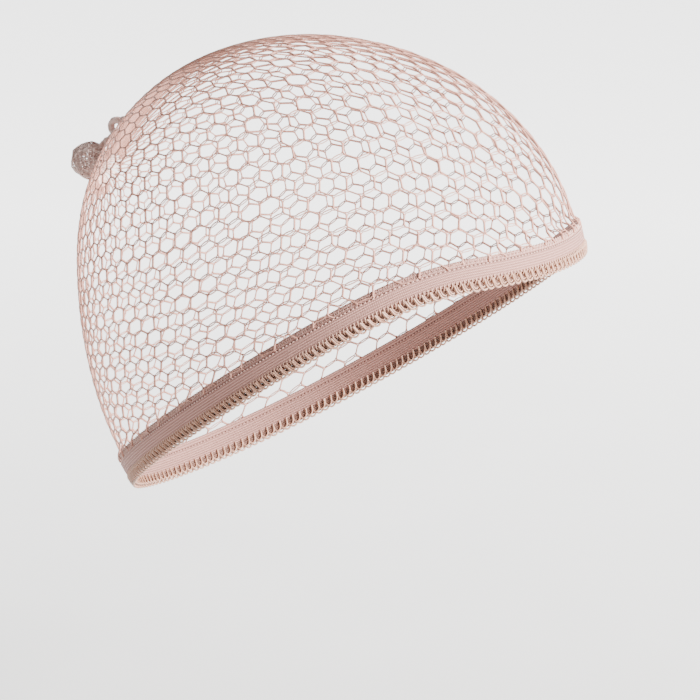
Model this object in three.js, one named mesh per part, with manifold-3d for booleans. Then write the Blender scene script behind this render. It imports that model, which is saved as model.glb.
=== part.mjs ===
import * as THREE from 'three';
import { mergeVertices } from 'three/addons/utils/BufferGeometryUtils.js';
import Module from 'manifold-3d';

const wasm = await Module();
wasm.setup();

// Wig cap of open net, stretched to its worn shape. Millimetres, +Z up, brow towards -Y.
// The origin is the middle of the crown's inside, at its highest point.

// Inside of the worn cap, as half sizes from its widest level.
const insideHalfWidth = 74;
const insideToBrow = 99;
const insideToBack = 95;
const insideToCrown = 84;
const insideDrawIn = 120;
const insideSquareness = 2.1;

// Lower edge, seen from the side: level across the brow, then a straight fall to the nape.
const browEdgeHeight = 16.2;
const napeFall = 0.715;
const fallStartsBeforeMiddle = 83.5;
const fallBlend = 6.2;

// Layers of the hem, from the inside outwards, and the heights of its strips.
const netThickness = 1;
const seatGap = 0.3;
const bandHeight = 7.6;
const bandThickness = 1.2;
const bandEdgeRound = 0.4;
const bandSteps = 72;
const picotHeight = 3.6;
const picotThickness = 1.2;
const picotPitch = 7;
const picotNotch = 1.6;
const hemTuck = 1.4;

// Net: six-sided gaps all over, apart from the gather at the knot and the hem. No gap cuts a ring of
// the hem, which overlaps the hem's foot and reaches this far to each side of the wall.
const gapSpacing = 25;
const widestGap = 19;
const strandWidth = 4.6;
const gatherRadius = 9;
const gatherSpread = 19;
const gatherRise = 1.6;
const hemHeight = 12.5;
const gapTilt = -8;
const hemOverlap = 1;
const hemReach = 8;
const shellRows = 7;
const shellColumns = 26;

// Knot of gathered net at the back of the crown, with its tail and loop.
const knotTurn = 8;
const knotHeight = 26.6;
const knotRadius = 6.4;
const knotNeckRadius = 4.2;
const knotNeckHeight = 1;
const knotPleats = 6;
const knotPleatDepth = 0.5;
const tailWidth = 5;
const tailThickness = 2.4;
const tailLength = 4.4;
const tailLean = -12;
const loopRadius = 2.4;
const loopCord = 1.3;

const up = new THREE.Vector3(0, 0, 1);

// Power sum of a direction against the inside of the cap, grown outwards by an offset.
function powerSum(direction, offset) {
  const frontBack = direction.y < 0 ? insideToBrow : insideToBack;
  const upDown = direction.z > 0 ? insideToCrown : insideDrawIn;
  return (
    Math.abs(direction.x / (insideHalfWidth + offset)) ** insideSquareness +
    Math.abs(direction.y / (frontBack + offset)) ** insideSquareness +
    Math.abs(direction.z / (upDown + offset)) ** insideSquareness
  );
}

// Point on the cap in a direction from the middle of its widest level.
function onDome(direction, offset) {
  const unit = direction.clone().normalize();
  return unit.multiplyScalar(powerSum(unit, offset) ** (-1 / insideSquareness));
}

function outwardAt(point, offset) {
  const step = 0.01;
  const base = powerSum(point, offset);
  const slope = (axis) => (powerSum(point.clone().addScaledVector(axis, step), offset) - base) / step;
  return new THREE.Vector3(
    slope(new THREE.Vector3(1, 0, 0)),
    slope(new THREE.Vector3(0, 1, 0)),
    slope(up),
  ).normalize();
}

function edgeHeight(y) {
  return browEdgeHeight - napeFall * fallBlend * Math.log1p(Math.exp((y + fallStartsBeforeMiddle) / fallBlend));
}

// Direction at a turn about the vertical, 0 at the brow, and a rise above the widest level.
function compass(turn, rise) {
  return new THREE.Vector3(
    Math.sin(turn) * Math.cos(rise),
    -Math.cos(turn) * Math.cos(rise),
    Math.sin(rise),
  );
}

// Where the lower edge of the cap passes at a turn, found by halving.
function edgePoint(turn) {
  let low = -1.4;
  let high = 1.2;
  for (let halving = 0; halving < 40; halving += 1) {
    const middle = (low + high) / 2;
    const point = onDome(compass(turn, middle), 0);
    if (point.z > edgeHeight(point.y)) {
      high = middle;
    } else {
      low = middle;
    }
  }
  return onDome(compass(turn, (low + high) / 2), 0);
}

// Point above the lower edge, measured square to the edge along the cap, and outwards by an offset.
function aboveEdge(turn, height, offset) {
  const turnStep = 0.01;
  const start = edgePoint(turn);
  const along = edgePoint(turn + turnStep).sub(edgePoint(turn - turnStep)).normalize();
  const climb = along.clone().cross(outwardAt(start, 0)).negate().normalize();
  return onDome(start.addScaledVector(climb, height), offset);
}

// Turns about the vertical at even steps along the edge, starting at the back.
function evenTurns() {
  const samples = 720;
  const turns = [-Math.PI];
  const lengths = [0];
  let previous = edgePoint(-Math.PI);
  for (let sample = 1; sample <= samples; sample += 1) {
    const turn = -Math.PI + (2 * Math.PI * sample) / samples;
    const point = edgePoint(turn);
    lengths.push(lengths[sample - 1] + point.distanceTo(previous));
    turns.push(turn);
    previous = point;
  }
  return { turns, lengths, whole: lengths[samples] };
}

const edge = evenTurns();

// Turn at a share of the way round the edge, from the back by way of -X.
function turnAt(share) {
  const wanted = (share - Math.floor(share)) * edge.whole;
  const after = Math.max(edge.lengths.findIndex((length) => length >= wanted), 1);
  const from = edge.lengths[after - 1];
  const part = (wanted - from) / (edge.lengths[after] - from);
  return edge.turns[after - 1] + part * (edge.turns[after] - edge.turns[after - 1]);
}

// Where the net is gathered, near the back of the crown.
const gather = compass(-Math.PI + THREE.MathUtils.degToRad(knotTurn), Math.atan2(knotHeight, insideToBack));

function solidFrom(geometry) {
  geometry.deleteAttribute('normal');
  geometry.deleteAttribute('uv');
  const merged = mergeVertices(geometry, 1e-3);
  merged.computeVertexNormals();
  return merged;
}

// Moves each vertex to its place on the cap, and the cap's origin to the inside of its crown.
function layOut(geometry, place) {
  const position = geometry.getAttribute('position');
  const vertex = new THREE.Vector3();
  for (let index = 0; index < position.count; index += 1) {
    vertex.fromBufferAttribute(position, index);
    const moved = place(vertex);
    position.setXYZ(index, moved.x, moved.y, moved.z - insideToCrown);
  }
  return solidFrom(geometry);
}

// Frame on the outside of the net: outwards, across, and up the crown.
function frameOnNet(direction) {
  const point = onDome(direction, netThickness);
  const outward = outwardAt(point, netThickness);
  const across = new THREE.Vector3().crossVectors(up, outward).normalize();
  const climb = new THREE.Vector3().crossVectors(outward, across).normalize();
  return { point, outward, across, climb };
}

const knotSeat = frameOnNet(gather);
const knotFoot = gatherRise + seatGap;
const ballMiddle = knotNeckHeight + knotRadius * 0.85;

// Middles of the gaps, spread evenly over a ball, each with its ring of neighbours in order.
function gapMiddles() {
  const meanReach = (insideHalfWidth + insideToBrow + insideToBack + insideToCrown) / 4;
  const faceEdge = Math.atan(2) * 0.9 * meanReach;
  const splits = Math.max(Math.round(faceEdge / gapSpacing), 1);
  const ball = solidFrom(new THREE.IcosahedronGeometry(1, splits - 1));
  ball.rotateX(THREE.MathUtils.degToRad(gapTilt));
  const position = ball.getAttribute('position');
  const middles = [];
  for (let index = 0; index < position.count; index += 1) {
    middles.push(new THREE.Vector3().fromBufferAttribute(position, index).normalize());
  }
  const neighbours = middles.map(() => new Set());
  for (let corner = 0; corner < ball.index.count; corner += 3) {
    const face = [0, 1, 2].map((offset) => ball.index.getX(corner + offset));
    face.forEach((one) => face.filter((other) => other !== one).forEach((other) => neighbours[one].add(other)));
  }
  return middles.map((middle, index) => {
    const side = new THREE.Vector3().crossVectors(middle, compass(0.3, 0.2)).normalize();
    const above = new THREE.Vector3().crossVectors(middle, side);
    const bearing = (direction) => Math.atan2(direction.dot(above), direction.dot(side));
    const ring = [...neighbours[index]].map((other) => middles[other]);
    return { middle, ring: ring.sort((one, other) => bearing(one) - bearing(other)) };
  });
}

// Corners of one gap, between each pair of neighbours, drawn in to leave the strands their width.
function gapCorners({ middle, ring }) {
  const centre = onDome(middle, 0);
  const openShare = ring.map((neighbour) => {
    const apart = onDome(neighbour, 0).distanceTo(centre);
    return Math.min(widestGap, apart - strandWidth) / apart;
  });
  return ring.map((neighbour, index) => {
    const next = (index + 1) % ring.length;
    const corner = onDome(middle.clone().add(neighbour).add(ring[next]), 0);
    return centre.clone().lerp(corner, Math.min(openShare[index], openShare[next]));
  });
}

// Tapered plug that cuts a gap through the net, square to the middle of the cap.
function makeGapCutter(middle, corners) {
  const reach = netThickness * 4;
  const plug = new THREE.CylinderGeometry(1, 1, 2, corners.length);
  return layOut(plug, (vertex) => {
    const turn = Math.atan2(vertex.x, vertex.z) / (2 * Math.PI);
    const index = (Math.round(turn * corners.length) + corners.length) % corners.length;
    const onAxis = Math.hypot(vertex.x, vertex.z) < 0.5;
    const place = onAxis ? onDome(middle, 0) : corners[index].clone();
    return place.multiplyScalar(1 + (vertex.y * reach) / place.length());
  });
}

function asManifold(geometry) {
  return new wasm.Manifold(new wasm.Mesh({
    numProp: 3,
    vertProperties: new Float32Array(geometry.getAttribute('position').array),
    triVerts: new Uint32Array(geometry.index.array),
  }));
}

function asGeometry(manifold) {
  const mesh = manifold.getMesh();
  const geometry = new THREE.BufferGeometry();
  geometry.setAttribute('position', new THREE.BufferAttribute(new Float32Array(mesh.vertProperties), 3));
  geometry.setIndex(new THREE.BufferAttribute(new Uint32Array(mesh.triVerts), 1));
  return solidFrom(geometry);
}

// Whole shell of the cap: a lathe section from the crown down to the hem and back, laid on the dome.
function makeWholeShell(bottom, inner, outer) {
  const hub = 100;
  const profile = [];
  for (let step = 0; step <= shellRows; step += 1) {
    profile.push(new THREE.Vector2((hub * step) / shellRows, inner));
  }
  for (let step = shellRows; step >= 0; step -= 1) {
    profile.push(new THREE.Vector2((hub * step) / shellRows, outer));
  }
  const hems = new Map();
  return layOut(new THREE.LatheGeometry(profile, shellColumns), (vertex) => {
    const share = Math.atan2(vertex.x, vertex.z) / (2 * Math.PI);
    const key = Math.round(share * shellColumns) % shellColumns;
    if (!hems.has(key)) {
      hems.set(key, aboveEdge(turnAt(key / shellColumns), bottom, 0).normalize());
    }
    const hem = hems.get(key);
    const fromCrown = (hem.angleTo(up) * Math.hypot(vertex.x, vertex.z)) / hub;
    const turn = Math.atan2(hem.x, -hem.y);
    return onDome(compass(turn, Math.PI / 2 - fromCrown), vertex.y);
  });
}

// Net drawn together round the knot: thicker towards the middle, where it rises into the neck.
function makeGatheredPatch() {
  const rings = 4;
  const profile = [];
  for (let ring = 0; ring <= rings; ring += 1) {
    profile.push(new THREE.Vector2((gatherSpread * ring) / rings, 0));
  }
  for (let ring = rings; ring >= 0; ring -= 1) {
    const closeness = 1 - ring / rings;
    profile.push(new THREE.Vector2((gatherSpread * ring) / rings, netThickness + gatherRise * closeness ** 2));
  }
  return layOut(new THREE.LatheGeometry(profile, knotPleats * 4), (vertex) => {
    const spot = knotSeat.point.clone()
      .addScaledVector(knotSeat.climb, vertex.x)
      .addScaledVector(knotSeat.across, vertex.z);
    return onDome(spot, vertex.y);
  });
}

function makeNetCrown() {
  const hemBottom = picotHeight + seatGap + hemTuck;
  const open = gapMiddles().filter(({ middle }) => {
    const point = onDome(middle, 0);
    const lowest = aboveEdge(Math.atan2(point.x, -point.y), hemHeight - widestGap / 4, 0);
    const fromKnot = point.distanceTo(knotSeat.point);
    return middle.z > lowest.normalize().z && fromKnot > gatherRadius + widestGap / 2;
  });
  const cutters = open.map((gap) => asManifold(makeGapCutter(gap.middle, gapCorners(gap))));
  const cuts = cutters.reduce((all, cutter) => all.add(cutter));
  const hemFoot = hemBottom - hemOverlap;
  const hemKeep = asManifold(makeEdgeStrip(
    [[hemFoot, -hemReach], [hemFoot, hemReach], [hemHeight, hemReach], [hemHeight, -hemReach]],
    shellColumns, (height) => height,
  ));
  const shell = asManifold(makeWholeShell(hemBottom, 0, netThickness)).add(asManifold(makeGatheredPatch()));
  return asGeometry(shell.subtract(cuts.subtract(hemKeep)));
}

// A strip round the edge of the cap: a closed section of heights and offsets, turned and laid on it.
function makeEdgeStrip(section, steps, heightAt) {
  const hub = 10;
  const profile = section.map(([height, offset]) => new THREE.Vector2(hub + offset, height));
  profile.push(profile[0].clone());
  const ring = new THREE.LatheGeometry(profile, steps);
  return layOut(ring, (vertex) => {
    const share = Math.atan2(vertex.x, vertex.z) / (2 * Math.PI);
    const offset = Math.hypot(vertex.x, vertex.z) - hub;
    return aboveEdge(turnAt(share), heightAt(vertex.y, share), offset);
  });
}

const bandInner = netThickness + seatGap;

function makeElasticBand() {
  const outer = bandInner + bandThickness;
  const bottom = picotHeight + seatGap;
  const top = bottom + bandHeight;
  const section = [
    [bottom, bandInner],
    [bottom, outer],
    [top - bandEdgeRound, outer],
    [top, outer - bandEdgeRound],
    [top, bandInner],
  ];
  return makeEdgeStrip(section, bandSteps, (height) => height);
}

function makePicotEdge() {
  const outer = bandInner + picotThickness;
  const scallops = Math.round(edge.whole / picotPitch);
  const section = [[0, bandInner], [0, outer], [picotHeight, outer], [picotHeight, bandInner]];
  return makeEdgeStrip(section, scallops * 2, (height, share) => {
    const notch = picotNotch * (0.5 - 0.5 * Math.cos(2 * Math.PI * share * scallops));
    return height < picotHeight / 2 ? height + notch : height;
  });
}

// Gathered ball: pleats of net drawn in at the neck and bulging over the tie.
function makeCrownKnot() {
  const profile = [new THREE.Vector2(0, 0), new THREE.Vector2(knotNeckRadius, 0)];
  const ballSteps = 8;
  const neckAngle = Math.asin(knotNeckRadius / knotRadius);
  for (let step = 0; step < ballSteps; step += 1) {
    const angle = neckAngle + ((Math.PI - neckAngle) * step) / ballSteps;
    profile.push(new THREE.Vector2(knotRadius * Math.sin(angle), ballMiddle - knotRadius * Math.cos(angle)));
  }
  profile.push(new THREE.Vector2(0, ballMiddle + knotRadius));
  const ball = new THREE.LatheGeometry(profile, knotPleats * 4);
  return layOut(ball, (vertex) => {
    const turn = Math.atan2(vertex.x, vertex.z);
    const radius = Math.hypot(vertex.x, vertex.z);
    const twist = vertex.y / knotRadius;
    const pleat = knotPleatDepth * Math.cos(knotPleats * turn + twist) * Math.min(1, radius / knotNeckRadius);
    const reach = Math.max(radius + pleat, 0);
    return knotSeat.point.clone()
      .addScaledVector(knotSeat.outward, knotFoot + vertex.y)
      .addScaledVector(knotSeat.climb, reach * Math.sin(turn))
      .addScaledVector(knotSeat.across, reach * Math.cos(turn));
  });
}

// Height of the gathered patch above the net, at a distance from the knot.
function patchRise(distance) {
  return gatherRise * Math.max(1 - distance / gatherSpread, 0) ** 2;
}

// A direction on the net some way up from the knot, along the tail's lean.
function alongTail(distance) {
  const lean = THREE.MathUtils.degToRad(tailLean);
  return knotSeat.point.clone()
    .addScaledVector(knotSeat.climb, distance * Math.cos(lean))
    .addScaledVector(knotSeat.across, distance * Math.sin(lean));
}

const tailStart = knotRadius + knotPleatDepth + seatGap;

// Flat strip of gathered net, lying on the crown from the knot to its loop.
function makeKnotTail() {
  const strip = new THREE.BoxGeometry(tailWidth, tailLength, tailThickness, 4, 2, 1);
  return layOut(strip, (vertex) => {
    const distance = tailStart + tailLength / 2 + vertex.y;
    const seat = frameOnNet(alongTail(distance));
    const crown = 1 - 0.5 * (2 * vertex.x / tailWidth) ** 2;
    const foot = seatGap + patchRise(distance);
    const rise = vertex.z > 0 ? foot + tailThickness * crown : foot;
    return seat.point.addScaledVector(seat.outward, rise).addScaledVector(seat.across, vertex.x);
  });
}

function makeTailLoop() {
  const ring = new THREE.TorusGeometry(loopRadius, loopCord, 6, 16);
  const distance = tailStart + tailLength + seatGap + loopRadius + loopCord;
  const seat = frameOnNet(alongTail(distance));
  const lift = loopRadius + loopCord + seatGap + patchRise(distance);
  return layOut(ring, (vertex) => seat.point.clone()
    .addScaledVector(seat.across, vertex.z)
    .addScaledVector(seat.climb, vertex.x)
    .addScaledVector(seat.outward, vertex.y + lift));
}

function fabric(color, roughness) {
  return new THREE.MeshStandardMaterial({ color, roughness, metalness: 0 });
}

const wigCap = new THREE.Group();

function addPiece(name, geometry, material) {
  const piece = new THREE.Mesh(geometry, material);
  piece.name = name;
  wigCap.add(piece);
}

addPiece('net_crown', makeNetCrown(), fabric(0xcfaca0, 0.7));
addPiece('elastic_band', makeElasticBand(), fabric(0xd9bdb4, 0.75));
addPiece('picot_edge', makePicotEdge(), fabric(0xdcc0ae, 0.45));
addPiece('crown_knot', makeCrownKnot(), fabric(0xb09087, 0.8));
addPiece('knot_tail', makeKnotTail(), fabric(0xb09087, 0.8));
addPiece('tail_loop', makeTailLoop(), fabric(0xb89a90, 0.8));

export default wigCap;
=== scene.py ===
import math

import bmesh
import bpy
import numpy as np
from mathutils import Matrix, Vector, noise


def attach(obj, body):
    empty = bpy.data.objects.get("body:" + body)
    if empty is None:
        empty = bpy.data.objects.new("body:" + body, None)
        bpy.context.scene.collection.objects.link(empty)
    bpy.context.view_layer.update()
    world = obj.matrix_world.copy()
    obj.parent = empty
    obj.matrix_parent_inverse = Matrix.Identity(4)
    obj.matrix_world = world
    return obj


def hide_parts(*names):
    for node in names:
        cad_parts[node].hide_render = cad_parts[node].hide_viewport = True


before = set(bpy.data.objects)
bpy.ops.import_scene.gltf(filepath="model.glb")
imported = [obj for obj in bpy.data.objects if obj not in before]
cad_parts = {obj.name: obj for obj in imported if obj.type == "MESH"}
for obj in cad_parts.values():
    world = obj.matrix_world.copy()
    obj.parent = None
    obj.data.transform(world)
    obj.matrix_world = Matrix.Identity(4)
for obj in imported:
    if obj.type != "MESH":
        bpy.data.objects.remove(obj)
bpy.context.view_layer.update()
scene = bpy.context.scene

# View, floor and light. A long lens looks from ahead and from the wearer's right, a little from
# above. The floor is a plain pale board well below the cap, and the light is soft studio light:
# a wide lamp ahead of the brow, a weaker one behind, and an even pale surround.
crown_to_widest = 0.084
widest_middle = Vector((0, 0, -crown_to_widest))
view_turn, view_rise, view_roll = math.radians(-52), math.radians(15), math.radians(-0.7)
view_distance = 1.339
to_camera = Vector((
    math.sin(view_turn) * math.cos(view_rise),
    -math.cos(view_turn) * math.cos(view_rise),
    math.sin(view_rise),
))
view_right = Vector((math.cos(view_turn), math.sin(view_turn), 0))
view_up = to_camera.cross(view_right)
camera_place = widest_middle + to_camera * view_distance
frame_middle = widest_middle + view_right * 0.01008 - view_up * 0.0281
look_back = (camera_place - frame_middle).normalized()
level_right = (view_right - look_back * view_right.dot(look_back)).normalized()
level_up = look_back.cross(level_right)
rolled_right = level_right * math.cos(view_roll) - level_up * math.sin(view_roll)
rolled_up = level_right * math.sin(view_roll) + level_up * math.cos(view_roll)

camera_data = bpy.data.cameras.new("camera")
camera_data.lens = 191.2
camera_data.sensor_width = 36
camera = bpy.data.objects.new("camera", camera_data)
camera.matrix_world = Matrix((rolled_right, rolled_up, look_back)).transposed().to_4x4()
camera.location = camera_place
scene.collection.objects.link(camera)
scene.camera = camera


def hang_lamp(name, rightwards, upwards, forwards, size, power, tint):
    """A square lamp at a place given from the camera's side, facing the cap."""
    data = bpy.data.lights.new(name, "AREA")
    data.size = size
    data.energy = power
    data.color = tint
    lamp = bpy.data.objects.new(name, data)
    place = widest_middle + view_right * rightwards + view_up * upwards + to_camera * forwards
    lamp.location = place
    lamp.rotation_mode = "QUATERNION"
    lamp.rotation_quaternion = (place - widest_middle).to_track_quat("Z", "Y")
    scene.collection.objects.link(lamp)


hang_lamp("brow_lamp", 1.75, 0.75, 1.15, 1.1, 310, (1.0, 0.985, 0.97))
hang_lamp("back_lamp", -1.6, 1.4, 0.4, 1.2, 12, (0.96, 0.98, 1.0))


def add_node(tree, kind, feeds=None, **settings):
    """Adds a shader node with its settings; feeds are values or the sockets that drive them."""
    node = tree.nodes.new("ShaderNode" + kind)
    for name, value in settings.items():
        setattr(node, name, value)
    for socket, value in (feeds or {}).items():
        if isinstance(value, bpy.types.NodeSocket):
            tree.links.new(value, node.inputs[socket])
        else:
            node.inputs[socket].default_value = value
    return node


def linear(code):
    """An sRGB hex colour as linear red, green and blue, with full alpha."""
    shares = [int(code[start:start + 2], 16) / 255 for start in (0, 2, 4)]
    return (*(s / 12.92 if s <= 0.04045 else ((s + 0.055) / 1.055) ** 2.4 for s in shares), 1.0)


def new_finish(name):
    """An empty material and its node tree, cleared of its nodes."""
    finish = bpy.data.materials.new(name)
    finish.use_nodes = True
    finish.node_tree.nodes.clear()
    return finish, finish.node_tree


surround = bpy.data.worlds.new("surround")
surround.use_nodes = True
surround.node_tree.nodes["Background"].inputs["Color"].default_value = linear("F4F5F8")
surround.node_tree.nodes["Background"].inputs["Strength"].default_value = 0.25
scene.world = surround

# Matt painted board: nearly white, with the faint unevenness of a rolled coat. It glows a little
# on the far side of the cap, so that it stays as pale there as a lit studio sweep.
floor_finish, tree = new_finish("painted_board")
place = add_node(tree, "TexCoord").outputs["Object"]
rolled = add_node(tree, "TexNoise", {"Vector": place, "Scale": 14.0, "Detail": 3.0})
coat = add_node(tree, "ValToRGB", {"Fac": rolled.outputs["Fac"]})
coat.color_ramp.elements[0].color = linear("DCDCDB")
coat.color_ramp.elements[1].color = linear("E6E6E5")
away = (-to_camera.x, -to_camera.y, 0)
behind = add_node(tree, "VectorMath", {0: place, 1: away}, operation="DOT_PRODUCT")
glow = add_node(tree, "MapRange", {
    "Value": behind.outputs["Value"], "From Min": 0.0, "From Max": 0.9, "To Max": 2.6,
})
board = add_node(tree, "BsdfPrincipled", {
    "Base Color": coat.outputs["Color"], "Roughness": 0.85,
    "Emission Color": linear("FFFFFF"), "Emission Strength": glow.outputs["Result"],
})
add_node(tree, "OutputMaterial", {"Surface": board.outputs["BSDF"]})

floor_depth = -0.30
bm = bmesh.new()
bmesh.ops.create_grid(bm, x_segments=1, y_segments=1, size=9)
bmesh.ops.translate(bm, verts=bm.verts, vec=(0, 0, floor_depth))
floor_mesh = bpy.data.meshes.new("floor")
bm.to_mesh(floor_mesh)
bm.free()
floor_mesh.materials.append(floor_finish)
floor = bpy.data.objects.new("floor", floor_mesh)
scene.collection.objects.link(floor)

# Worn net. The real piece is a tube of open warp-knitted net in nylon and elastane, stretched to a
# dome: gathered at the back of the crown and cut off at the band. Each gap has six sides: the
# knitted walls run crown to band in zigzags, and two loose yarns join each wall to the next.
half_width, to_brow, to_back, draw_in, squareness = 0.074, 0.099, 0.095, 0.120, 2.1
brow_edge_height, nape_fall, fall_starts, fall_blend = 0.0162, 0.715, -0.0835, 0.0062


def power_sum(points, offset):
    """Power sum of points against the cap's inside grown by an offset; 1 is on it."""
    x, y, z = np.moveaxis(np.asarray(points, float), -1, 0)
    front_back = np.where(y < 0, to_brow, to_back) + offset
    up_down = np.where(z > 0, crown_to_widest, draw_in) + offset
    return (
        np.abs(x / (half_width + offset)) ** squareness
        + np.abs(y / front_back) ** squareness
        + np.abs(z / up_down) ** squareness
    )


def on_dome(points, offset):
    """The same directions from the middle of the widest level, at an offset from the inside."""
    return points * (power_sum(points, offset) ** (-1 / squareness))[..., None]


def unit(vectors):
    return vectors / np.linalg.norm(vectors, axis=-1, keepdims=True)


def outward_at(points):
    """Directions square to the inside of the cap."""
    step = 1e-5
    base = power_sum(points, 0.0)
    slopes = [(power_sum(points + step * axis, 0.0) - base) / step for axis in np.eye(3)]
    return unit(np.stack(slopes, -1))


def compass(turn, rise):
    """Direction at a turn about the vertical, 0 at the brow, and a rise above the widest level."""
    return np.stack([np.sin(turn) * np.cos(rise), -np.cos(turn) * np.cos(rise), np.sin(rise)], -1)


# The lower edge all round, from the back by way of the wearer's right, found by halving.
edge_turns = np.linspace(-math.pi, math.pi, 1441)
low, high = np.full(len(edge_turns), -1.4), np.full(len(edge_turns), 1.2)
for _ in range(40):
    rise = (low + high) / 2
    tried = on_dome(compass(edge_turns, rise), 0.0)
    lift = np.logaddexp(0, (tried[:, 1] - fall_starts) / fall_blend)
    above = tried[:, 2] > brow_edge_height - nape_fall * fall_blend * lift
    high, low = np.where(above, rise, high), np.where(above, low, rise)
edge_line = on_dome(compass(edge_turns, (low + high) / 2), 0.0)
edge_along = unit(np.roll(edge_line[:-1], -1, 0) - np.roll(edge_line[:-1], 1, 0))
edge_along = np.vstack([edge_along, edge_along[:1]])
edge_climb = unit(-np.cross(edge_along, outward_at(edge_line)))
edge_lengths = np.append(0, np.cumsum(np.linalg.norm(np.diff(edge_line, axis=0), axis=1)))
edge_whole = edge_lengths[-1]


def by_edge(distance, height, offset):
    """Places round the lower edge: a distance along it, a height above it, an offset outwards."""
    distance = np.mod(distance, edge_whole)
    start = np.stack([np.interp(distance, edge_lengths, edge_line[:, k]) for k in range(3)], -1)
    climb = np.stack([np.interp(distance, edge_lengths, edge_climb[:, k]) for k in range(3)], -1)
    laid = on_dome(start + climb * np.asarray(height)[..., None], offset)
    return laid - (0, 0, crown_to_widest)


# The gather, and the net laid between it and the hem. Walls leave the gather on all sides and rows
# swing down from it, alike on the two sides of the cap. Near the gather the walls crowd on the
# crown's middle line; at the band they are widest at the brow. The rows are tallest at the brow.
gather_turn, gather_height = math.radians(8), 0.0266
walls, brow_wall, first_row, last_row, row_step = 74, 38, 3, 34, 1 / 20
crown_crowd, hem_spread, side_spread = 0.94, 0.93, 0.07
row_swing, row_slack, brow_swing, brow_slack, side_swing = 1.96, 0.32, 0.96, 0.27, 0.04
gather = compass(np.array(-math.pi + gather_turn), np.array(math.atan2(gather_height, to_back)))
gather_across = unit(np.cross(gather, (0, 0, 1)))
gather_up = np.cross(gather_across, gather)


def on_net(wall, row):
    """Directions of places on the net, by wall and row."""
    turn = 2 * math.pi * (brow_wall - wall) / walls
    far = np.maximum((row - first_row) * row_step, 0.001)
    bearing = turn + (hem_spread * far - crown_crowd) * np.sin(turn)
    bearing = bearing + side_spread * far * np.sin(2 * turn)
    swing = (row_swing - row_slack * far) * far + side_swing * far * np.cos(2 * turn)
    swing = swing + (brow_swing - brow_slack * far) * far * np.cos(turn)
    return (
        gather * np.cos(swing)[..., None]
        + gather_up * (np.sin(swing) * np.cos(bearing))[..., None]
        - gather_across * (np.sin(swing) * np.sin(bearing))[..., None]
    )


# Where the net lies: just off the inside, lifted to the gather at the knot, and stepping out over
# the selvedge of the tape, where the seam holds its ends.
net_outside, net_offset = 0.001, 0.0005
gather_rise, gather_spread = 0.0016, 0.019
seam_height, selvedge_face, net_on_selvedge = 0.0093, 0.00202, 0.0003
step_top, step_run = 0.0138, 0.0022
gather_seat = on_dome(gather, net_outside)


def lay_net(wall, row, proud):
    """Net places in the cap: on its inside, lifted round the knot and over the tape's selvedge."""
    toward = on_net(wall, row)
    flat = on_dome(toward, 0.0)
    from_edge = flat[..., None, :] - edge_line[::4]
    nearest = np.argmin(np.linalg.norm(from_edge, axis=-1), axis=-1)
    reach = flat - edge_line[::4][nearest]
    height = np.sum(reach * edge_climb[::4][nearest], axis=-1)
    over_tape = np.clip((step_top - height) / step_run, 0, 1)
    over_tape = over_tape * over_tape * (3 - 2 * over_tape)
    from_knot = np.linalg.norm(flat - gather_seat, axis=-1)
    rise = gather_rise * np.clip(1 - from_knot / gather_spread, 0, 1) ** 2
    offset = net_offset + proud + rise + over_tape * (selvedge_face + net_on_selvedge - net_offset)
    return on_dome(toward, offset) - (0, 0, crown_to_widest), height, from_knot


def wind_yarns(name, yarns, sides):
    """One mesh of many yarns: each is its points and its half thickness, in metres."""
    line = bpy.data.curves.new(name, "CURVE")
    line.dimensions = "3D"
    line.bevel_depth = 0.001
    line.bevel_resolution = (sides - 4) // 2
    line.use_fill_caps = True
    for points, half_thickness in yarns:
        spline = line.splines.new("POLY")
        spline.points.add(len(points) - 1)
        spline.points.foreach_set("co", np.column_stack([points, np.ones(len(points))]).ravel())
        spline.points.foreach_set("radius", np.broadcast_to(half_thickness, len(points)) / 0.001)
        spline.use_smooth = True
    wound = bpy.data.objects.new(name, line)
    scene.collection.objects.link(wound)
    mesh = bpy.data.meshes.new_from_object(wound.evaluated_get(bpy.context.evaluated_depsgraph_get()))
    bpy.data.objects.remove(wound)
    bpy.data.curves.remove(line)
    return mesh


def put_on_cap(name, mesh, finish, slot, *nodes):
    """Makes a mesh a piece of the cap, in its finish, in place of the CAD nodes named."""
    mesh.name = name
    mesh.materials.clear()
    mesh.materials.append(finish)
    piece = bpy.data.objects.new(name, mesh)
    scene.collection.objects.link(piece)
    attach(piece, "root")
    if nodes:
        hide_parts(*nodes)
    return piece


# Textured nylon yarn: bundles of crimped filaments, dyed a pale skin pink. It is nearly matt,
# with a soft sheen along its edges, and its filaments give it a fine slanting grain. Filaments
# are 0.02 mm thick, so the grain is drawn at 0.25 mm.
net_finish, tree = new_finish("crimped_nylon_yarn")
place = add_node(tree, "TexCoord").outputs["Object"]
filaments = add_node(tree, "TexNoise", {"Vector": place, "Scale": 4000.0, "Detail": 2.0})
dye = add_node(tree, "TexNoise", {"Vector": place, "Scale": 45.0, "Detail": 3.0})
shade = add_node(tree, "ValToRGB", {"Fac": dye.outputs["Fac"]})
shade.color_ramp.elements[0].position = 0.35
shade.color_ramp.elements[0].color = linear("B07D6D")
shade.color_ramp.elements[1].position = 0.65
shade.color_ramp.elements[1].color = linear("C89585")
grain = add_node(tree, "Bump", {"Height": filaments.outputs["Fac"], "Strength": 0.5, "Distance": 0.0001})
yarn = add_node(tree, "BsdfPrincipled", {
    "Base Color": shade.outputs["Color"], "Roughness": 0.55, "Normal": grain.outputs["Normal"],
    "Sheen Weight": 0.1, "Sheen Roughness": 0.4, "Specular IOR Level": 0.3,
})
add_node(tree, "OutputMaterial", {"Surface": yarn.outputs["BSDF"]})

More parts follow.
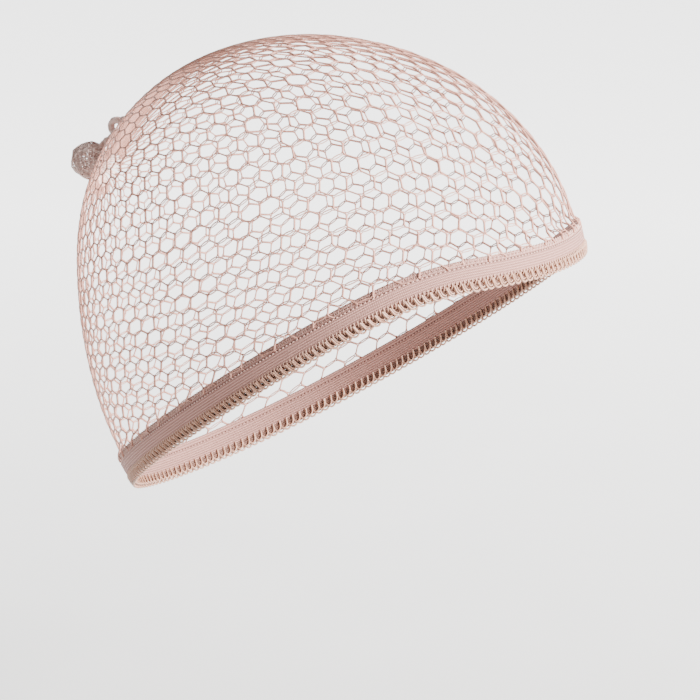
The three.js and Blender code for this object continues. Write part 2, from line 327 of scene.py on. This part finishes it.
# Crossings, wall by wall: a wall leans out at one and back in at the next, and each is set a
# little off its even place, as the net is pulled by hand.
chance = np.random.default_rng(11)
half_rows = 2 * last_row
steps = np.arange(half_rows)
crossing_row = np.tile(steps / 2, (walls, 1)) + chance.normal(0, 0.022, (walls, half_rows))
leans_out = (steps[None, :] + np.arange(walls)[:, None]) % 2 == 0
crossing_wall = np.arange(walls)[:, None] + np.where(leans_out, 2 / 3, 1 / 3)
crossing_wall = crossing_wall + chance.normal(0, 0.018, (walls, half_rows))


def along_wall(wall, step):
    """Wall and row of a place on a wall, at a step and a part between crossings."""
    lap, wall = np.divmod(wall, walls)
    before = np.clip(np.floor(step).astype(int), 0, half_rows - 2)
    part = step - before
    places = crossing_wall[wall, before] * (1 - part) + crossing_wall[wall, before + 1] * part
    rows = crossing_row[wall, before] * (1 - part) + crossing_row[wall, before + 1] * part
    return places + lap * walls, rows


# Walls: a pillar of stitches, thick where it runs towards the band and thin where it slants. Near
# the knot the net is pulled hardest, and its yarns are thinner.
upright_half, slant_half, link_half = 0.00041, 0.00028, 0.00021
knot_share, full_from_knot, gather_reach = 0.62, 0.06, 0.0065


def thinned(half_thickness, from_knot):
    """Half thickness of a yarn, less towards the knot."""
    return half_thickness * np.clip(knot_share + (1 - knot_share) * (from_knot / full_from_knot), 0, 1)


wall_yarns = []
parts = np.array([0.1, 0.5, 0.9])
for wall in range(walls):
    at = (steps[1:-1, None] + parts).ravel()
    place, row = along_wall(wall, at)
    laid, height, from_knot = lay_net(place, row, 0.00005)
    kept = (height > seam_height) & (from_knot > gather_reach)
    slants = ~leans_out[wall, np.floor(at).astype(int)]
    thick = thinned(np.where(slants, slant_half, upright_half), from_knot)
    wall_yarns.append((laid[kept], thick[kept]))
net_walls = put_on_cap("net_walls", wind_yarns("net_walls", wall_yarns, 6), net_finish, "net", "net_crown")

# Links: two fine yarns from the top of one upright to the foot of the next. The upper one comes
# out of the slanting stitches and the lower one out of the upright, so they cross at both ends.
link_yarns = []
bow = 0.055
for wall in range(walls):
    for step in range(2, half_rows - 2):
        if leans_out[wall, step]:
            continue
        wall_from, row_from = along_wall(wall - 1, np.array([step - 0.3, step, step + 0.3]))
        wall_to, row_to = along_wall(wall, np.array([step - 0.3, step, step + 0.3]))
        for side, end in ((-1, 0), (1, 2)):
            part = np.array([0.1, 0.37, 0.63, 0.9])
            arch = side * bow * np.array([0.5, 1, 1, 0.5])
            places = wall_from[1] + (wall_to[1] - wall_from[1]) * part
            rows = row_from[1] + (row_to[1] - row_from[1]) * part + arch
            places = np.concatenate([[wall_from[end]], places, [wall_to[end]]])
            rows = np.concatenate([[row_from[end]], rows, [row_to[end]]])
            link_yarns.append((places, rows))
all_places = np.array([y[0] for y in link_yarns])
all_rows = np.array([y[1] for y in link_yarns])
laid, height, from_knot = lay_net(all_places, all_rows, 0.0001)
kept = (height.min(1) > seam_height - 0.0002) & (from_knot.min(1) > gather_reach)
thick = thinned(link_half, from_knot)
link_yarns = [(laid[k], thick[k]) for k in np.flatnonzero(kept)]
net_links = put_on_cap("net_links", wind_yarns("net_links", link_yarns, 4), net_finish, "net", "net_crown")

# Elastic band: a woven tape of rubber cores bound in nylon, cut to length, joined at the back and
# stitched over the net's cut edge. Its cores are lengthwise ribs, and above the seam its selvedge
# is thinner. At the nape it bulges and turns in.
band_bottom, band_width, band_back_face, band_thick = 0.0039, 0.0076, 0.0013, 0.0012
band_top, band_face = band_bottom + band_width, band_back_face + band_thick
rim_round, selvedge_thinner, selvedge_run, nape_bulge, nape_reach = 0.0003, 0.4, 0.0008, 0.0004, 0.05
rib_pitch, weft_pitch, slit_pitch = 0.00085, 0.0007, 0.00145
seam_up = seam_height - band_bottom

bm = bmesh.new()
bmesh.ops.create_grid(bm, x_segments=720, y_segments=19, size=0.5)
bmesh.ops.transform(bm, verts=bm.verts, matrix=Matrix.Diagonal((edge_whole, band_width, 1, 1)))
bmesh.ops.translate(bm, verts=bm.verts, vec=(edge_whole / 2, band_width / 2, 0))
face_up = bmesh.ops.extrude_face_region(bm, geom=bm.faces[:])
raised = [v for v in face_up["geom"] if isinstance(v, bmesh.types.BMVert)]
bmesh.ops.translate(bm, verts=raised, vec=(0, 0, band_thick))
ends = [f for f in bm.faces if abs(f.normal.x) > 0.9]
bmesh.ops.delete(bm, geom=ends, context="FACES_ONLY")
rims = [
    e for e in bm.edges
    if abs(e.verts[0].co.y - e.verts[1].co.y) < 1e-7 and abs(e.verts[0].co.z - e.verts[1].co.z) < 1e-7
    and min(abs(e.verts[0].co.y), abs(e.verts[0].co.y - band_width)) < 1e-6
]
bmesh.ops.bevel(
    bm, geom=rims, offset=rim_round, offset_type="OFFSET", affect="EDGES", segments=2, profile=0.5,
    material=-1,
)
tape = bm.loops.layers.uv.new("tape")
for face in bm.faces:
    for loop in face.loops:
        loop[tape].uv = loop.vert.co.xy
flat = np.array([v.co for v in bm.verts])
wave = np.array([
    noise.noise(Vector((x * 45, y * 90, 3.1))) for x, y in np.column_stack([
        edge_whole * np.cos(2 * math.pi * flat[:, 0] / edge_whole) / 6.3,
        edge_whole * np.sin(2 * math.pi * flat[:, 0] / edge_whole) / 6.3 + flat[:, 1],
    ])
])
from_nape = np.mod(flat[:, 0] + edge_whole / 2, edge_whole) - edge_whole / 2
at_nape = np.exp(-((from_nape / nape_reach) ** 2))
across = flat[:, 1] / band_width
thin = 1 - selvedge_thinner * np.clip((flat[:, 1] - seam_up) / selvedge_run, 0, 1)
bulge = nape_bulge * np.sin(math.pi * across) * at_nape
laid = by_edge(
    flat[:, 0],
    band_bottom + flat[:, 1] + 0.00012 * wave,
    band_back_face + flat[:, 2] * thin + bulge + 0.00008 * wave,
)
for vert, spot in zip(bm.verts, laid):
    vert.co = spot
bmesh.ops.remove_doubles(bm, verts=bm.verts, dist=1e-6)
bmesh.ops.recalc_face_normals(bm, faces=bm.faces)
for face in bm.faces:
    face.smooth = True
band_mesh = bpy.data.meshes.new("elastic_tape")
bm.to_mesh(band_mesh)
bm.free()

# Covered elastic: rubber cores under a plain weave of matt nylon. The cores show as ribs along
# the tape, 0.85 mm apart, and the weft crosses them, over one and under the next. The real weft is
# 0.3 mm apart and is drawn at 0.7 mm, so that it shows. The colour follows the weave: darker in the
# grooves between the ribs and the weft as painted shade, with random flecks. Needle slits break the
# line of the seam, painted dark as the shade inside them.
band_finish, tree = new_finish("covered_elastic")
tape_place = add_node(tree, "UVMap", uv_map="tape").outputs["UV"]
spot = add_node(tree, "SeparateXYZ", {"Vector": tape_place})
length_on, height_on = spot.outputs["X"], spot.outputs["Y"]
rib_turn = add_node(tree, "Math", {0: height_on, 1: 2 * math.pi / rib_pitch}, operation="MULTIPLY")
rib = add_node(tree, "Math", {0: rib_turn.outputs[0]}, operation="SINE")
weft_turn = add_node(tree, "Math", {0: length_on, 1: 2 * math.pi / weft_pitch}, operation="MULTIPLY")
rib_count = add_node(tree, "Math", {0: height_on, 1: 2 / rib_pitch}, operation="MULTIPLY")
rib_number = add_node(tree, "Math", {0: rib_count.outputs[0]}, operation="FLOOR")
weft_shift = add_node(
    tree, "Math", {0: rib_number.outputs[0], 1: math.pi, 2: weft_turn.outputs[0]}, operation="MULTIPLY_ADD",
)
weft = add_node(tree, "Math", {0: weft_shift.outputs[0]}, operation="SINE")
weave = add_node(tree, "Math", {0: weft.outputs[0], 1: 0.55, 2: rib.outputs[0]}, operation="MULTIPLY_ADD")
fleck = add_node(tree, "TexNoise", {"Vector": tape_place, "Scale": 1400.0, "Detail": 2.0})
relief = add_node(
    tree, "Math", {0: fleck.outputs["Fac"], 1: 1.2, 2: weave.outputs[0]}, operation="MULTIPLY_ADD",
)
slit_count = add_node(tree, "Math", {0: length_on, 1: 1 / slit_pitch}, operation="MULTIPLY")
slit_part = add_node(tree, "Math", {0: slit_count.outputs[0]}, operation="FRACT")
slit_along = add_node(tree, "Math", {0: slit_part.outputs[0], 1: 0.5}, operation="LESS_THAN")
slit_across = add_node(tree, "Math", {0: height_on, 1: seam_up, 2: 0.00022}, operation="COMPARE")
slit = add_node(tree, "Math", {0: slit_along.outputs[0], 1: slit_across.outputs[0]}, operation="MULTIPLY")
# The tone follows the height of the weave: the grooves are painted darker as painted shade, and the flecks
# vary at random.
tone = add_node(tree, "MapRange", {"Value": relief.outputs[0], "From Min": -1.2, "From Max": 2.4})
weave_tone_groove_shade = add_node(tree, "ValToRGB", {"Fac": tone.outputs["Result"]})
weave_tone_groove_shade.color_ramp.elements[0].color = linear("815950")
weave_tone_groove_shade.color_ramp.elements[1].color = linear("C2978B")
middle_tone = weave_tone_groove_shade.color_ramp.elements.new(0.5)
middle_tone.color = linear("A2766C")
# The slits are coloured dark brown: painted shade inside the needle holes.
slit_painted_shade = add_node(
    tree, "Mix", {0: slit.outputs[0], 6: weave_tone_groove_shade.outputs["Color"], 7: linear("5E3F37")}, data_type="RGBA",
)
bumped = add_node(
    tree, "Math", {0: slit.outputs[0], 1: -2.5, 2: relief.outputs[0]}, operation="MULTIPLY_ADD",
)
thread = add_node(tree, "Bump", {"Height": bumped.outputs[0], "Strength": 0.6, "Distance": 0.00015})
tape_surface = add_node(tree, "BsdfPrincipled", {
    "Base Color": slit_painted_shade.outputs[2], "Roughness": 0.62, "Normal": thread.outputs["Normal"],
    "Sheen Weight": 0.08, "Sheen Roughness": 0.45, "Specular IOR Level": 0.2,
})
add_node(tree, "OutputMaterial", {"Surface": tape_surface.outputs["BSDF"]})
put_on_cap("elastic_tape", band_mesh, band_finish, "elastic", "elastic_band")

# Seam stitches: a fine thread run to and fro over the selvedge, catching the ends of the net, and
# a straight row below it. Both are sewn by machine through tape and net.
stitch_yarns = []
zigzag_pitch, zigzag_half, stitch_half = 0.0016, 0.0002, 0.00014
zigzags = round(edge_whole / zigzag_pitch)
turns = np.arange(2 * zigzags + 1)
along = turns * edge_whole / (2 * zigzags) + chance.normal(0, 0.00012, len(turns))
along[-1] = along[0] + edge_whole
height = np.where(turns % 2 == 0, seam_height + 0.0002, band_top + 0.0002)
stitch_yarns.append((by_edge(along, height, selvedge_face + 0.00005), zigzag_half))
stitch_pitch = edge_whole / round(edge_whole / slit_pitch)
for start in np.arange(0, edge_whole - stitch_pitch / 2, stitch_pitch):
    along = start + stitch_pitch * np.array([0.56, 0.62, 0.78, 0.94, 1.0])
    sunk = np.array([-0.0002, 0.00005, 0.0001, 0.00005, -0.0002])
    stitch_yarns.append((by_edge(along, np.full(5, seam_height), band_face + sunk), stitch_half))

# Sewing thread: polyester spun in three plies, a shade paler than the tape, with a dull shine.
thread_finish, tree = new_finish("sewing_thread")
place = add_node(tree, "TexCoord").outputs["Object"]
twist = add_node(tree, "TexNoise", {"Vector": place, "Scale": 2600.0, "Detail": 2.0})
thread_tint = add_node(tree, "ValToRGB", {"Fac": twist.outputs["Fac"]})
thread_tint.color_ramp.elements[0].position = 0.35
thread_tint.color_ramp.elements[0].color = linear("C69A8C")
thread_tint.color_ramp.elements[1].position = 0.65
thread_tint.color_ramp.elements[1].color = linear("E8C6B9")
ply_relief = add_node(tree, "Bump", {"Height": twist.outputs["Fac"], "Strength": 0.4, "Distance": 0.0001})
spun = add_node(tree, "BsdfPrincipled", {
    "Base Color": thread_tint.outputs["Color"], "Roughness": 0.5, "Normal": ply_relief.outputs["Normal"],
    "Specular IOR Level": 0.4,
})
add_node(tree, "OutputMaterial", {"Surface": spun.outputs["BSDF"]})
stitch_mesh = wind_yarns("seam_stitches", stitch_yarns, 4)
put_on_cap("seam_stitches", stitch_mesh, thread_finish, "elastic", "elastic_band")

# Picot edge: satin yarn looped along the band's lower edge as the tape is woven, two yarns side by
# side in each loop. The loops lean and overlap, and a row of short bars binds them to the tape.
loop_pitch, bar_pitch, loop_top = 0.0027, 0.00135, 0.0042
picot_loops = round(edge_whole / loop_pitch)
picot_pitch = edge_whole / picot_loops
picot_yarns = []
arc = np.linspace(0, 1, 13)
for loop in range(picot_loops):
    # Shift along in pitches, reach down, half width in pitches, face at both ends, half thickness.
    for shift, reach, wide, front, behind, thick in (
        (0.5, 0.0036, 0.60, 0.0028, 0.0021, 0.00037),
        (0.5, 0.0026, 0.38, 0.0027, 0.0021, 0.00029),
        (1.0, 0.0032, 0.50, 0.0011, 0.0013, 0.00035),
    ):
        drop = np.sin(arc * math.pi) ** 0.55 * reach
        swing = -np.cos(arc * math.pi) * wide * picot_pitch
        along = (loop + shift) * picot_pitch + swing + 0.2 * drop + chance.normal(0, 0.00009)
        height = loop_top - drop
        offset = front + (behind - front) * arc
        picot_yarns.append((by_edge(along, height, offset), thick))
bars = round(edge_whole / bar_pitch)
for bar in range(bars):
    along = np.full(3, bar * edge_whole / bars) + np.array([0.0002, 0, -0.0002])
    height = np.array([0.0050, 0.0042, 0.0033])
    picot_yarns.append((by_edge(along, height, np.array([0.0024, 0.0029, 0.0023])), 0.00027))
core_yarns, core_offset, core_half = [], 0.0018, 0.00042
for height in (0.0036, 0.0029, 0.0022, 0.0015):
    along = np.linspace(0, edge_whole, 721)
    waver = 0.00012 * np.sin(along * 2 * math.pi / picot_pitch + height * 4000)
    core_yarns.append((by_edge(along, height + waver, core_offset + waver), core_half))

# Bright nylon satin: parallel filaments with little twist, so each loop has a clear shine.
picot_finish, tree = new_finish("satin_nylon")
place = add_node(tree, "TexCoord").outputs["Object"]
strands = add_node(tree, "TexNoise", {"Vector": place, "Scale": 3200.0, "Detail": 2.0})
tint = add_node(tree, "ValToRGB", {"Fac": strands.outputs["Fac"]})
tint.color_ramp.elements[0].position = 0.3
tint.color_ramp.elements[0].color = linear("8E6350")
tint.color_ramp.elements[1].position = 0.7
tint.color_ramp.elements[1].color = linear("CDA189")
lines = add_node(tree, "Bump", {"Height": strands.outputs["Fac"], "Strength": 0.4, "Distance": 0.00012})
satin = add_node(tree, "BsdfPrincipled", {
    "Base Color": tint.outputs["Color"], "Roughness": 0.34, "Normal": lines.outputs["Normal"],
    "Specular IOR Level": 0.5,
})
add_node(tree, "OutputMaterial", {"Surface": satin.outputs["BSDF"]})
trim_mesh = wind_yarns("picot_trim", picot_yarns, 6)
put_on_cap("picot_trim", trim_mesh, picot_finish, "picot", "picot_edge")

# Core yarns of the same edge, that the satin loops are thrown over: dull twisted nylon, coloured
# dark as painted shade, so that the gaps between the loops look dark.
core_shade_finish, tree = new_finish("core_nylon_painted_shade")
place = add_node(tree, "TexCoord").outputs["Object"]
plies = add_node(tree, "TexNoise", {"Vector": place, "Scale": 1500.0, "Detail": 2.0})
# The dark ramp is painted shade: the shadow between the satin loops.
core_painted_shade = add_node(tree, "ValToRGB", {"Fac": plies.outputs["Fac"]})
core_painted_shade.color_ramp.elements[0].position = 0.35
core_painted_shade.color_ramp.elements[0].color = linear("68493E")
core_painted_shade.color_ramp.elements[1].position = 0.7
core_painted_shade.color_ramp.elements[1].color = linear("8A675A")
ply_bump = add_node(tree, "Bump", {"Height": plies.outputs["Fac"], "Strength": 0.5, "Distance": 0.00015})
core_shade_surface = add_node(tree, "BsdfPrincipled", {
    "Base Color": core_painted_shade.outputs["Color"], "Roughness": 0.7, "Normal": ply_bump.outputs["Normal"],
    "Specular IOR Level": 0.3,
})
add_node(tree, "OutputMaterial", {"Surface": core_shade_surface.outputs["BSDF"]})
core_mesh = wind_yarns("picot_core", core_yarns, 6)
put_on_cap("picot_core", core_mesh, core_shade_finish, "picot", "picot_edge")

# Gathered knot: the spare net is drawn together at the back of the crown, tied, and rolled into a
# ball. From it a flat strip of gathered net runs up the crown and ends in a small puffed loop.
knot_radius, knot_foot, neck_height = 0.0064, 0.0019, 0.001
ball_middle = knot_foot + neck_height + knot_radius * 0.85
knot_out = outward_at(gather_seat)
knot_across = unit(np.cross((0, 0, 1), knot_out))
knot_climb = np.cross(knot_out, knot_across)
knot_frame = Matrix(np.column_stack([knot_across, knot_climb, knot_out])).to_4x4()
knot_frame.translation = Vector(gather_seat) - Vector((0, 0, crown_to_widest))


def crumple(vert, seed, folds, depth):
    """Draws a point of a ball in or out along its direction, in rounded folds."""
    toward = vert.co.normalized()
    fold = noise.noise(toward * folds + Vector((seed, 0, 0)))
    crease = 0.5 - abs(noise.noise(toward * folds * 1.7 + Vector((0, seed, 0)))) * 2
    vert.co += toward * (depth * (fold + 0.5 * crease))


# Layers of the ball, from the outside in: seed, radius, number of splits and width of the cords.
layers = ((1, 0.0067, 3, 0.00048), (2, 0.0060, 3, 0.00052), (3, 0.0051, 3, 0.0006))
knot_bm = bmesh.new()
for seed, radius, splits, cord in layers:
    shell = bmesh.new()
    bmesh.ops.create_icosphere(shell, subdivisions=splits, radius=radius)
    bmesh.ops.rotate(shell, verts=shell.verts, matrix=Matrix.Rotation(0.7 * seed, 3, (0.3, 1, 0.2)))
    for vert in shell.verts:
        crumple(vert, seed, 3.0, 0.0009)
    bmesh.ops.wireframe(
        shell, faces=shell.faces, thickness=cord, offset=0, use_replace=True, use_boundary=True,
        use_even_offset=False,
    )
    bmesh.ops.translate(shell, verts=shell.verts, vec=(0, 0, ball_middle))
    layer = bpy.data.meshes.new("layer")
    shell.to_mesh(layer)
    shell.free()
    knot_bm.from_mesh(layer)
    bpy.data.meshes.remove(layer)
bmesh.ops.transform(knot_bm, verts=knot_bm.verts, matrix=knot_frame)
for face in knot_bm.faces:
    face.smooth = True
knot_mesh = bpy.data.meshes.new("knot_ball")
knot_bm.to_mesh(knot_mesh)
knot_bm.free()

# The same nylon net, crushed: layer on layer, so the shade between the layers makes it look darker
# and denser than the open net. Its colour is painted paler than the open net's yarn: painted light
# that lifts the shade inside the ball.
knot_painted_light_finish, tree = new_finish("gathered_nylon_net_painted_light")
place = add_node(tree, "TexCoord").outputs["Object"]
crush = add_node(tree, "TexNoise", {"Vector": place, "Scale": 700.0, "Detail": 3.0})
# Paler than the net yarn's colours: painted light against the ball's own shade.
knot_tone_painted_light = add_node(tree, "ValToRGB", {"Fac": crush.outputs["Fac"]})
knot_tone_painted_light.color_ramp.elements[0].position = 0.3
knot_tone_painted_light.color_ramp.elements[0].color = linear("CBA499")
knot_tone_painted_light.color_ramp.elements[1].position = 0.68
knot_tone_painted_light.color_ramp.elements[1].color = linear("F7DCD2")
folds = add_node(tree, "Bump", {"Height": crush.outputs["Fac"], "Strength": 0.6, "Distance": 0.0003})
crushed = add_node(tree, "BsdfPrincipled", {
    "Base Color": knot_tone_painted_light.outputs["Color"], "Roughness": 0.6, "Normal": folds.outputs["Normal"],
    "Sheen Weight": 0.35, "Sheen Roughness": 0.4, "Specular IOR Level": 0.4,
})
add_node(tree, "OutputMaterial", {"Surface": crushed.outputs["BSDF"]})
put_on_cap("knot_ball", knot_mesh, knot_painted_light_finish, "gathered_net", "crown_knot")

# Neck, strip and loop are the same net in cords: it runs from the crown into the ball, and out of
# it up the crown.
cords, pleats, pleat_half, strand_half, coil_half = [], 36, 0.00045, 0.00042, 0.00028
for pleat in range(pleats):
    angle = 2 * math.pi * pleat / pleats + chance.normal(0, 0.05)
    reach = np.array([0.0105, 0.0075, 0.0052, 0.0040, 0.0042, 0.0048])
    rise = np.array([0.0002, 0.0007, 0.0016, 0.0028, 0.0042, 0.0060])
    around = np.column_stack([reach * math.cos(angle), reach * math.sin(angle), rise])
    cords.append((np.array([knot_frame @ Vector(p) for p in around]), pleat_half))


strip_from, strip_to, strip_half_width, strip_strands = 0.0048, 0.0130, 0.0021, 11
strip_lean = math.radians(-12)


def up_from_knot(distance, sideways, lift):
    """Places on the strip: a distance up from the knot, to one side, and lifted off the net."""
    spot = (
        gather_seat
        + np.outer(distance * math.cos(strip_lean), knot_climb)
        + np.outer(distance * math.sin(strip_lean) + sideways, knot_across)
    )
    gathered = gather_rise * np.clip(1 - distance / gather_spread, 0, 1) ** 2
    return on_dome(spot, net_outside + gathered + lift) - (0, 0, crown_to_widest)


for strand in range(strip_strands):
    distance = np.linspace(strip_from, strip_to, 12)
    side = (strand - 5) / 5 * strip_half_width
    wander = 0.0004 * np.sin(distance * 2300 + strand * 2.1)
    lift = 0.0064 - 0.0028 * (distance - strip_from) / (strip_to - strip_from)
    lift = lift + 0.0007 * np.cos(strand * 2.4) + 0.0004 * np.sin(distance * 1900 + strand)
    cords.append((up_from_knot(distance, side + wander, lift), strand_half))

# Two puffs of the loop: how far on, radius, half thickness and number of strands.
for puff, loop_radius, loop_thick, strands in ((0.0, 0.0025, 0.0014, 7), (0.0044, 0.0014, 0.0010, 5)):
    loop_at = knot_radius + 0.0052 + loop_radius + loop_thick + puff
    loop_middle = up_from_knot(np.array([loop_at]), 0.0, loop_radius + loop_thick + 0.0010)[0]
    loop_out = outward_at((loop_middle + (0, 0, crown_to_widest))[None])[0]
    loop_across = unit(np.cross((0, 0, 1), loop_out))
    loop_climb = np.cross(loop_out, loop_across)
    for strand in range(strands):
        turn = np.linspace(0, 2 * math.pi, 41)
        coil = 5 * turn + strand * 2 * math.pi / strands
        fat = loop_thick * (0.78 + 0.12 * np.sin(3 * turn + strand))
        ring = loop_radius + fat * np.cos(coil)
        points = (
            loop_middle
            + np.outer(ring * np.cos(turn), loop_climb)
            + np.outer(ring * np.sin(turn), loop_out)
            + np.outer(fat * np.sin(coil), loop_across)
        )
        cords.append((points, coil_half))
cord_mesh = wind_yarns("knot_cords", cords, 6)
put_on_cap("knot_cords", cord_mesh, knot_painted_light_finish, "gathered_net", "knot_tail", "tail_loop")
